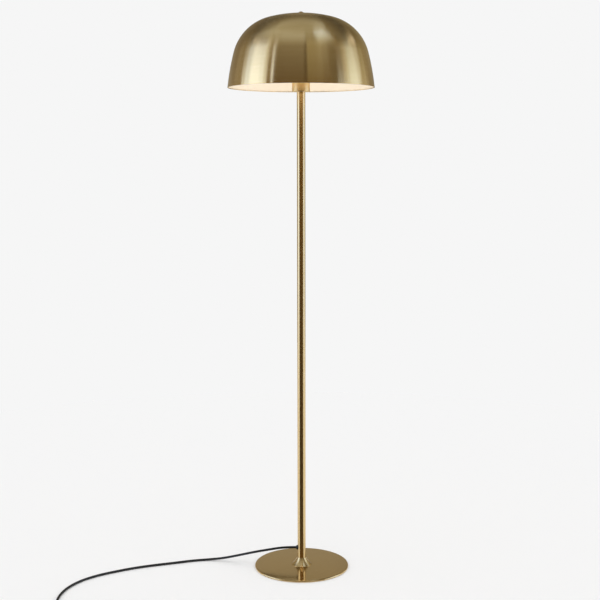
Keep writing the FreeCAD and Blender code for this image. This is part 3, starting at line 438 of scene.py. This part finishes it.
# ------------------------------------------------------------------ lamp cup and lampholder
# A drawn steel cup, brass plated, hides the lampholder under the shade. The holder is moulded
# in white heat-proof plastic with a brass screw shell.
CUP_RADIUS = 0.022
CUP_LOW = 1.211
CUP_HIGH = 1.261
CUP_ROUND = 0.0025
CUP_WALL = 0.001
NIPPLE_HOLE = 0.0053

# Satin brass plate: gathers the light of the lacquer round it, so it looks a deeper gold
cup_brass = finish_material(
    "satin_brass_plating_on_the_cup", {"Metallic": 1}, brushed(across=0.02, low=0.34, high=0.36))
corner = (CUP_RADIUS - CUP_ROUND, CUP_LOW + CUP_ROUND)
lamp_cup = lathe("lamp_cup_drawn", [
    (NIPPLE_HOLE, CUP_LOW), *arc(corner, CUP_ROUND, 270, 360, 10), (CUP_RADIUS, CUP_HIGH),
    (CUP_RADIUS - CUP_WALL, CUP_HIGH), *arc(corner, CUP_ROUND - CUP_WALL, 360, 270, 8),
    (NIPPLE_HOLE, CUP_LOW + CUP_WALL)], cup_brass)
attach(lamp_cup, "lamp")
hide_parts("lamp_cup")

# Heat-proof thermoplastic: off-white, satin
white_plastic = finish_material("moulded_white_thermoplastic",
                                {"Base Color": linear("#E9E6DE"), "IOR": 1.5},
                                moulded_grain)
for node in ("holder_cap", "holder_deck", "holder_skirt"):
    dress(node, white_plastic)


def turned_lines(tree):
    """Fine turning lines 0.3 mm apart up the piece, drawn at 0.5 mm."""
    place = add(tree, "ShaderNodeTexCoord").outputs["Object"]
    line_of = add(tree, "ShaderNodeTexWave", {"bands_direction": "Z"},
                  {"Scale": 0.314 / 0.0005, "Distortion": 0.6}, {"Vector": place})
    rough = add(tree, "ShaderNodeMapRange", values={"To Min": 0.2, "To Max": 0.32},
                links={"Value": line_of.outputs["Fac"]})
    bump = add(tree, "ShaderNodeBump", values={"Strength": 0.15, "Distance": 0.00003},
               links={"Height": line_of.outputs["Fac"]})
    return {"Roughness": rough.outputs["Result"], "Normal": bump.outputs["Normal"]}


# Turned brass, lacquered: warm yellow metal with fine lathe lines
turned_brass = finish_material("turned_brass", {"Base Color": linear("#DDB878"), "Metallic": 1},
                               turned_lines)
for node in ("nipple", "holder_sleeve", "holder_contact", "shade_washer"):
    dress(node, turned_brass)

# ------------------------------------------------------------------ light bulb
# A blown glass bulb, 60 mm across, coated white inside and lit, in a rolled aluminium cap with
# black insulation under it.
BULB_WARMTH = "#FFEAD2"
BULB_GLOW = 7.5


def glow(tree):
    """The coating's glow, a little uneven, as coated glass is: patches about 12 mm across."""
    place = add(tree, "ShaderNodeTexCoord").outputs["Object"]
    coat = add(tree, "ShaderNodeTexNoise", values={"Scale": 1 / 0.012, "Detail": 2},
               links={"Vector": place})
    strength = add(tree, "ShaderNodeMapRange",
                   values={"To Min": 0.94 * BULB_GLOW, "To Max": 1.06 * BULB_GLOW},
                   links={"Value": coat.outputs["Fac"]})
    return {"Emission Strength": strength.outputs["Result"]}


# Coated glass: white, smooth, glowing warm
opal_glass = finish_material(
    "coated_glass_lit", {"Base Color": linear("#F5EFE4"), "Roughness": 0.12, "IOR": 1.52,
                         "Emission Color": linear(BULB_WARMTH)}, glow)
dress("bulb_glass", opal_glass)

# Bare aluminium, rolled: pale, soft sheen
aluminium = finish_material("rolled_aluminium", {"Base Color": linear("#C9CBCC"), "Metallic": 1},
                            turned_lines)
for node in ("bulb_cap", "bulb_contact"):
    dress(node, aluminium)
# Black glassy insulation
dress("bulb_insulator", finish_material("black_insulation", {"Base Color": linear("#101012"), "IOR": 1.5},
                                        polished_grain))

# ------------------------------------------------------------------ harp
# A bent steel wire bow, zinc plated, that stands on the lampholder's saddle and carries the
# shade on a flat seat.
dress("harp", zinc)

# ------------------------------------------------------------------ shade
# A dome spun from 1 mm aluminium: brushed round and round outside in a brass finish, cream
# lacquer inside, its rim rolled into a small hem. It hangs on the harp's stud.
RIM_RADIUS = 0.18098
SHEET = 0.001
RIM_LEAN = 6.3
WALL_ARC = 0.590
WALL_TOP_LEAN = 14.7
SHOULDER_ARC = 0.116
CROWN_LEAN = 75.2
HEM = 0.0012
STUD_HOLE = 0.0033
RIM_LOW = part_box("shade")[0][2]

# Brushed brass finish: long fine lines round the dome, so lights draw out up and down it
shade_brass = finish_material(
    "brushed_brass_on_the_shade",
    {"Metallic": 1, "Anisotropic": 1.0, "Anisotropic Rotation": 0.25, "Coat Weight": 0.3,
     "Coat Roughness": 0.12},
    brushed(across=0.0035, low=0.19, high=0.21))


def lacquer_peel(tree):
    """Sprayed lacquer: soft orange peel about 2 mm across."""
    place = add(tree, "ShaderNodeTexCoord").outputs["Object"]
    peel = add(tree, "ShaderNodeTexNoise", values={"Scale": 1 / 0.002, "Detail": 2},
               links={"Vector": place})
    rough = add(tree, "ShaderNodeMapRange", values={"To Min": 0.40, "To Max": 0.52},
                links={"Value": peel.outputs["Fac"]})
    bump = add(tree, "ShaderNodeBump", values={"Strength": 0.1, "Distance": 0.0001},
               links={"Height": peel.outputs["Fac"]})
    return {"Roughness": rough.outputs["Result"], "Normal": bump.outputs["Normal"]}


# Cream lacquer: pale, satin, throws the light down
cream = finish_material("cream_lacquer", {"Base Color": linear("#F2EBDD"), "IOR": 1.5}, lacquer_peel)

# The grids have one column for each of 256 steps round the dome, and one to close it
COLUMNS = 257
MERGE_WITHIN = 0.00001
spun = bpy.data.node_groups.new("spun_dome", "GeometryNodeTree")
DOME_SIZES = {
    "Rim radius": RIM_RADIUS, "Rim height": RIM_LOW, "Sheet": SHEET, "Rim lean": RIM_LEAN,
    "Wall arc": WALL_ARC, "Wall top lean": WALL_TOP_LEAN, "Shoulder arc": SHOULDER_ARC,
    "Crown lean": CROWN_LEAN, "Hole radius": STUD_HOLE, "Hem radius": HEM,
}
for name in DOME_SIZES:
    spun.interface.new_socket(name, in_out="INPUT", socket_type="NodeSocketFloat")
spun.interface.new_socket("Geometry", in_out="OUTPUT", socket_type="NodeSocketGeometry")
sizes = add(spun, "NodeGroupInput").outputs


def calc(operation, *terms):
    """A Math node; its terms are numbers or other nodes' outputs."""
    values = {i: t for i, t in enumerate(terms) if isinstance(t, (int, float))}
    links = {i: t for i, t in enumerate(terms) if not isinstance(t, (int, float))}
    return add(spun, "ShaderNodeMath", {"operation": operation}, values, links).outputs["Value"]


def shifted(centre, radius, onward, lean):
    """The centre of the next arc, tangent to this one at the lean."""
    gap = calc("SUBTRACT", radius, onward)
    return (calc("MULTIPLY_ADD", gap, calc("COSINE", lean), centre[0]),
            calc("MULTIPLY_ADD", gap, calc("SINE", lean), centre[1]))


rim_lean, top_lean, crown_lean = (
    calc("RADIANS", sizes[n]) for n in ("Rim lean", "Wall top lean", "Crown lean"))
wall, shoulder = sizes["Wall arc"], sizes["Shoulder arc"]
wall_centre = (calc("SUBTRACT", sizes["Rim radius"], calc("MULTIPLY", wall, calc("COSINE", rim_lean))),
               calc("SUBTRACT", sizes["Rim height"], calc("MULTIPLY", wall, calc("SINE", rim_lean))))
shoulder_centre = shifted(wall_centre, wall, shoulder, top_lean)
crown_edge = calc("MULTIPLY_ADD", shoulder, calc("COSINE", crown_lean), shoulder_centre[0])
crown = calc("DIVIDE", crown_edge, calc("COSINE", crown_lean))
crown_centre = shifted(shoulder_centre, shoulder, crown, crown_lean)


def skin(inset, material, flip):
    """One side of the sheet: a grid whose rows run up the three arcs and whose columns go round."""
    hole_lean = calc("ARCCOSINE", calc("DIVIDE", sizes["Hole radius"], calc("SUBTRACT", crown, inset)))
    pieces = []
    for centre, radius, first, last, steps in (
            (wall_centre, wall, rim_lean, top_lean, 40),
            (shoulder_centre, shoulder, top_lean, crown_lean, 56),
            (crown_centre, crown, crown_lean, hole_lean, 24)):
        grid = add(spun, "GeometryNodeMeshGrid", values={
            "Size X": 1.0, "Size Y": 1.0, "Vertices X": steps + 1, "Vertices Y": COLUMNS})
        at = add(spun, "ShaderNodeSeparateXYZ",
                 links={"Vector": add(spun, "GeometryNodeInputPosition").outputs[0]})
        up = calc("ADD", at.outputs["X"], 0.5)
        lean = calc("MULTIPLY_ADD", up, calc("SUBTRACT", last, first), first)
        turn = calc("MULTIPLY", at.outputs["Y"], 2 * math.pi)
        inner = calc("SUBTRACT", radius, inset)
        out = calc("MULTIPLY_ADD", inner, calc("COSINE", lean), centre[0])
        high = calc("MULTIPLY_ADD", inner, calc("SINE", lean), centre[1])
        place = add(spun, "ShaderNodeCombineXYZ", links={
            "X": calc("MULTIPLY", out, calc("COSINE", turn)), "Y": calc("MULTIPLY", out, calc("SINE", turn)),
            "Z": high})
        pieces.append(add(spun, "GeometryNodeSetPosition", links={
            "Geometry": grid.outputs["Mesh"], "Position": place.outputs["Vector"]}).outputs["Geometry"])
    joined = add(spun, "GeometryNodeJoinGeometry")
    for piece in pieces:
        spun.links.new(piece, joined.inputs["Geometry"])
    result = joined.outputs["Geometry"]
    if flip:
        result = add(spun, "GeometryNodeFlipFaces", links={"Mesh": result}).outputs["Mesh"]
    return add(spun, "GeometryNodeSetMaterial", values={"Material": material},
               links={"Geometry": result}).outputs["Geometry"]


outside = skin(0.0, shade_brass, flip=False)
inside = skin(sizes["Sheet"], cream, flip=True)

# The hem: the sheet's edge rolled inwards round a small bead
bead = add(spun, "GeometryNodeMeshGrid", values={
    "Size X": 1.0, "Size Y": 1.0, "Vertices X": 17, "Vertices Y": COLUMNS})
at = add(spun, "ShaderNodeSeparateXYZ", links={"Vector": add(spun, "GeometryNodeInputPosition").outputs[0]})
roll = calc("MULTIPLY_ADD", at.outputs["X"], -math.pi, math.pi * 1.5)
turn = calc("MULTIPLY", at.outputs["Y"], 2 * math.pi)
hem_centre = calc("SUBTRACT", sizes["Rim radius"], sizes["Hem radius"])
out = calc("MULTIPLY_ADD", sizes["Hem radius"], calc("COSINE", roll), hem_centre)
high = calc("MULTIPLY_ADD", sizes["Hem radius"], calc("SINE", roll),
            calc("ADD", sizes["Rim height"], sizes["Hem radius"]))
place = add(spun, "ShaderNodeCombineXYZ", links={
    "X": calc("MULTIPLY", out, calc("COSINE", turn)), "Y": calc("MULTIPLY", out, calc("SINE", turn)),
    "Z": high})
bead_set = add(spun, "GeometryNodeSetPosition", links={
    "Geometry": bead.outputs["Mesh"], "Position": place.outputs["Vector"]})
hem = add(spun, "GeometryNodeSetMaterial", values={"Material": shade_brass},
          links={"Geometry": bead_set.outputs["Geometry"]}).outputs["Geometry"]

everything = add(spun, "GeometryNodeJoinGeometry")
for part in (outside, inside, hem):
    spun.links.new(part, everything.inputs["Geometry"])
merged = add(spun, "GeometryNodeMergeByDistance", values={"Distance": MERGE_WITHIN},
             links={"Geometry": everything.outputs["Geometry"]})
real = add(spun, "GeometryNodeRealizeInstances", links={"Geometry": merged.outputs["Geometry"]})
smooth = add(spun, "GeometryNodeSetShadeSmooth", links={"Geometry": real.outputs["Geometry"]})
add(spun, "NodeGroupOutput", links={"Geometry": smooth.outputs["Geometry"]})

carrier = bpy.data.objects.new("shade_carrier", bpy.data.meshes.new("shade_carrier"))
scene.collection.objects.link(carrier)
modifier = carrier.modifiers.new("spun_dome", "NODES")
modifier.node_group = spun
for socket in spun.interface.items_tree:
    if socket.in_out == "INPUT":
        modifier[socket.identifier] = DOME_SIZES[socket.name]
evaluated = carrier.evaluated_get(bpy.context.evaluated_depsgraph_get())
dome = bpy.data.meshes.new_from_object(evaluated)
dome.name = "shade_spun"
shade = bpy.data.objects.new("shade_spun", dome)
scene.collection.objects.link(shade)
bpy.data.objects.remove(carrier)
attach(shade, "lamp")
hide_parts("shade")

# ------------------------------------------------------------------ finial nut
# A domed cap nut turned from brass. It screws onto the harp's stud over a thin washer and
# clamps the shade.
NUT_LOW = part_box("finial_nut")[0][2]
NUT_RADIUS = 0.0065
NUT_HEIGHT = 0.0044
NUT_SKIRT = 0.0014
NUT_EDGE = 0.0003
NUT_BORE = 0.00305
NUT_BORE_DEPTH = 0.0032
rise = NUT_HEIGHT - NUT_SKIRT
ball = (NUT_RADIUS ** 2 + rise ** 2) / (2 * rise)
finial = lathe("finial_cap_nut", [
    (NUT_BORE, NUT_LOW), (NUT_RADIUS - NUT_EDGE, NUT_LOW), (NUT_RADIUS, NUT_LOW + NUT_EDGE),
    *arc((0, NUT_LOW + NUT_HEIGHT - ball), ball, math.degrees(math.acos(NUT_RADIUS / ball)), 90, 16)[:-1],
    (0, NUT_LOW + NUT_HEIGHT), (0, NUT_LOW + NUT_BORE_DEPTH), (NUT_BORE, NUT_LOW + NUT_BORE_DEPTH)],
    turned_brass)
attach(finial, "finial")
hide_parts("finial_nut")

# ------------------------------------------------------------------ studio
# A plain pale floor and backdrop under an even white light. Round the lamp, out of the picture,
# stand soft boxes and warm grey cards, which only the metal mirrors, as upright bands.
PALE = "#F6F6F6"
FLOOR_RADIUS = 2.2
pale_floor = finish_material("pale_floor",
                             {"Base Color": linear(PALE), "Roughness": 1.0, "Specular IOR Level": 0.0})
ground = bpy.data.meshes.new("floor")
shape = bmesh.new()
bmesh.ops.create_circle(shape, cap_ends=True, segments=96, radius=FLOOR_RADIUS)
shape.to_mesh(ground)
shape.free()
ground.materials.append(pale_floor)
floor = bpy.data.objects.new("floor", ground)
scene.collection.objects.link(floor)

world = bpy.data.worlds.new("studio")
scene.world = world
world.use_nodes = True
sky = world.node_tree
sky.nodes.clear()
rays = add(sky, "ShaderNodeLightPath").outputs
mirrored = add(sky, "ShaderNodeMath", {"operation": "MAXIMUM"}, links={
    0: rays["Is Glossy Ray"], 1: rays["Is Transmission Ray"]})
seen = add(sky, "ShaderNodeMath", {"operation": "MAXIMUM"}, links={
    0: rays["Is Camera Ray"], 1: mirrored.outputs["Value"]})
shown = add(sky, "ShaderNodeMix", {"data_type": "RGBA"}, {"A": (1, 1, 1, 1), "B": linear(PALE)},
            {"Factor": seen.outputs["Value"]})
background = add(sky, "ShaderNodeBackground", values={"Strength": 1.0},
                 links={"Color": shown.outputs["Result"]})
add(sky, "ShaderNodeOutputWorld", links={"Surface": background.outputs["Background"]})


# Dim cards are warm grey cloth, middling ones plain white, the brightest ones cool daylight:
# brightness, tint and the tint's gain
CARD_TINTS = [(0.2, linear("#FFEDC6"), 1.0), (0.6, linear("#FAFFFC"), 1.04), (1.4, linear("#BDD3FF"), 1.6)]


def card_light(bright):
    """The light of a card of this brightness, tinted between the two brightnesses next to it."""
    level = min(max(bright, CARD_TINTS[0][0]), CARD_TINTS[-1][0])
    for (dim, dim_tint, dim_gain), (lit, lit_tint, lit_gain) in zip(CARD_TINTS, CARD_TINTS[1:]):
        if level <= lit:
            share = (level - dim) / (lit - dim)
            return [bright * ((1 - share) * dim_gain * dim_tint[i] + share * lit_gain * lit_tint[i])
                    for i in range(3)]


def cards(name, tint, rows):
    """Curved cards round the lamp, one for each row: bearings from and to, in degrees with 0
    towards the camera and +90 to its right, then its foot and its head as (reach, height,
    brightness)."""
    shape = bmesh.new()
    glow_of = shape.verts.layers.float_color.new("glow")
    for first, last, foot, head in rows:
        steps = max(1, round((last - first) / 4))
        edges = []
        for i in range(steps + 1):
            turn = math.radians(first + (last - first) * i / steps)
            pair = []
            for reach, height, bright in (foot, head):
                vert = shape.verts.new((reach * math.sin(turn), -reach * math.cos(turn), height))
                vert[glow_of] = (*card_light(bright), 1)
                pair.append(vert)
            edges.append(pair)
        for here, there in zip(edges, edges[1:]):
            shape.faces.new((here[0], there[0], there[1], here[1]))
    mesh = bpy.data.meshes.new(name)
    shape.to_mesh(mesh)
    shape.free()
    material = bpy.data.materials.new(name)
    material.use_nodes = True
    material.cycles.emission_sampling = "NONE"
    tree = material.node_tree
    tree.nodes.clear()
    glow_in = add(tree, "ShaderNodeAttribute", {"attribute_name": "glow"})
    tinted = add(tree, "ShaderNodeVectorMath", {"operation": "MULTIPLY"}, {1: linear(tint)[:3]},
                 {0: glow_in.outputs["Color"]})
    light = add(tree, "ShaderNodeEmission", values={"Strength": 1.0},
                links={"Color": tinted.outputs["Vector"]})
    add(tree, "ShaderNodeOutputMaterial", links={"Surface": light.outputs["Emission"]})
    mesh.materials.append(material)
    piece = bpy.data.objects.new(name, mesh)
    piece.visible_camera = piece.visible_diffuse = piece.visible_shadow = piece.visible_transmission = False
    scene.collection.objects.link(piece)


FAR = 3.6
FLOOR_CARD = 0.1225
# Left of the lamp: a bright soft box, a thin strip light, and dim cloth towards the camera
cards("left_wall", "#FFFFFF", [
    (-174, -128, (FAR, 1.8, 0.26), (FAR, 4.7, 0.10)), (-128, -106, (FAR, 1.8, 0.38), (FAR, 4.2, 0.12)),
    (-106, -98, (FAR, 1.8, 0.8), (FAR, 3.7, 0.14)), (-98, -88, (FAR, 1.8, 1.6), (FAR, 3.9, 0.16)),
    (-88, -68, (FAR, 1.8, 2.3), (FAR, 4.3, 0.25)), (-68, -61, (FAR, 1.8, 1.8), (FAR, 4.7, 0.6)),
    (-61, -55, (FAR, 1.8, 0.95), (FAR, 4.7, 0.5)), (-55, -48, (FAR, 1.8, 0.2), (FAR, 4.7, 0.36)),
    (-48, -44.5, (FAR, 1.8, 1.9), (FAR, 4.4, 0.7)),
    (-44.5, 5, (FAR, 1.8, 0.07), (FAR, 4.7, 0.37)), (5, 10, (FAR, 1.8, 0.05), (FAR, 4.7, 0.22)),
    (-128, -68, (FAR, 4.2, 0.12), (FAR, 4.7, 0.14)),
])
# Right of the lamp: dim cloth towards the camera, then a soft box
cards("right_wall", "#FFFAE4", [
    (10, 36, (FAR, 1.8, 0.12), (FAR, 4.7, 0.58)), (36, 48, (FAR, 1.8, 0.08), (FAR, 4.7, 0.50)),
    (48, 62, (FAR, 1.8, 0.06), (FAR, 4.7, 0.32)), (62, 70, (FAR, 1.8, 0.15), (FAR, 4.7, 0.30)),
    (70, 76, (FAR, 1.8, 0.5), (FAR, 4.5, 0.22)), (76, 82, (FAR, 1.8, 0.95), (FAR, 4.3, 0.2)),
    (82, 100, (FAR, 1.8, 1.5), (FAR, 3.9, 0.18)), (100, 110, (FAR, 1.8, 1.1), (FAR, 3.4, 0.18)),
    (110, 124, (FAR, 1.8, 0.6), (FAR, 3.2, 0.13)), (124, 174, (FAR, 1.8, 0.34), (FAR, 4.7, 0.06)),
    (76, 124, (FAR, 3.9, 0.13), (FAR, 4.7, 0.10)),
])
# Below 1.8 m: the same boxes down to the floor, and dark cloth on the floor before the lamp
cards("low_cards", "#FFFFFF", [
    (-174, -104, (FAR, 0, 0.32), (FAR, 1.8, 0.32)), (-104, -54, (FAR, 0, 1.4), (FAR, 1.8, 1.5)),
    (-54, 46, (FAR, 0, 0.055), (FAR, 0.6, 0.055)), (46, 58, (FAR, 0, 0.25), (FAR, 1.8, 0.25)),
    (58, 104, (FAR, 0, 1.35), (FAR, 1.8, 1.45)), (104, 130, (FAR, 0, 0.6), (FAR, 1.8, 0.5)),
    (130, 174, (FAR, 0, 0.26), (FAR, 1.8, 0.26)),
    (-54, 46, (FLOOR_CARD, 0.002, 0.055), (FAR, 0.002, 0.055)),
])
# A warm glow low behind the camera, which the lower pole mirrors
cards("amber_card", "#FFC865", [
    (-54, 46, (FAR, 0.6, 0.055), (FAR, 1.2, 0.24)), (-54, 46, (FAR, 1.2, 0.24), (FAR, 1.5, 0.30)),
    (-54, 46, (FAR, 1.5, 0.30), (FAR, 1.8, 0.10)),
])
# Over the lamp: the slopes and the flat of the roof
cards("tent_roof", "#F2F8FF", [
    (-186, -110, (FAR, 4.7, 0.10), (1.9, 5.4, 0.26)), (-110, -52, (FAR, 4.7, 0.42), (1.9, 5.4, 0.66)),
    (-52, 10, (FAR, 4.7, 0.44), (1.9, 5.4, 0.78)), (10, 36, (FAR, 4.7, 0.30), (1.9, 5.4, 0.48)),
    (36, 74, (FAR, 4.7, 0.6), (1.9, 5.4, 1.1)), (74, 104, (FAR, 4.7, 0.16), (1.9, 5.4, 0.3)),
    (104, 174, (FAR, 4.7, 0.08), (1.9, 5.4, 0.24)), (-180, 180, (1.9, 5.4, 0.52), (0.01, 5.6, 0.44)),
    (40, 76, (2.9, 4.75, 0.8), (1.6, 5.1, 1.5)),
])
# Behind the lamp: the gap between the two walls
cards("back_wall", "#FFFCF4", [(174, 186, (FAR, 0, 0.38), (FAR, 4.7, 0.20))])
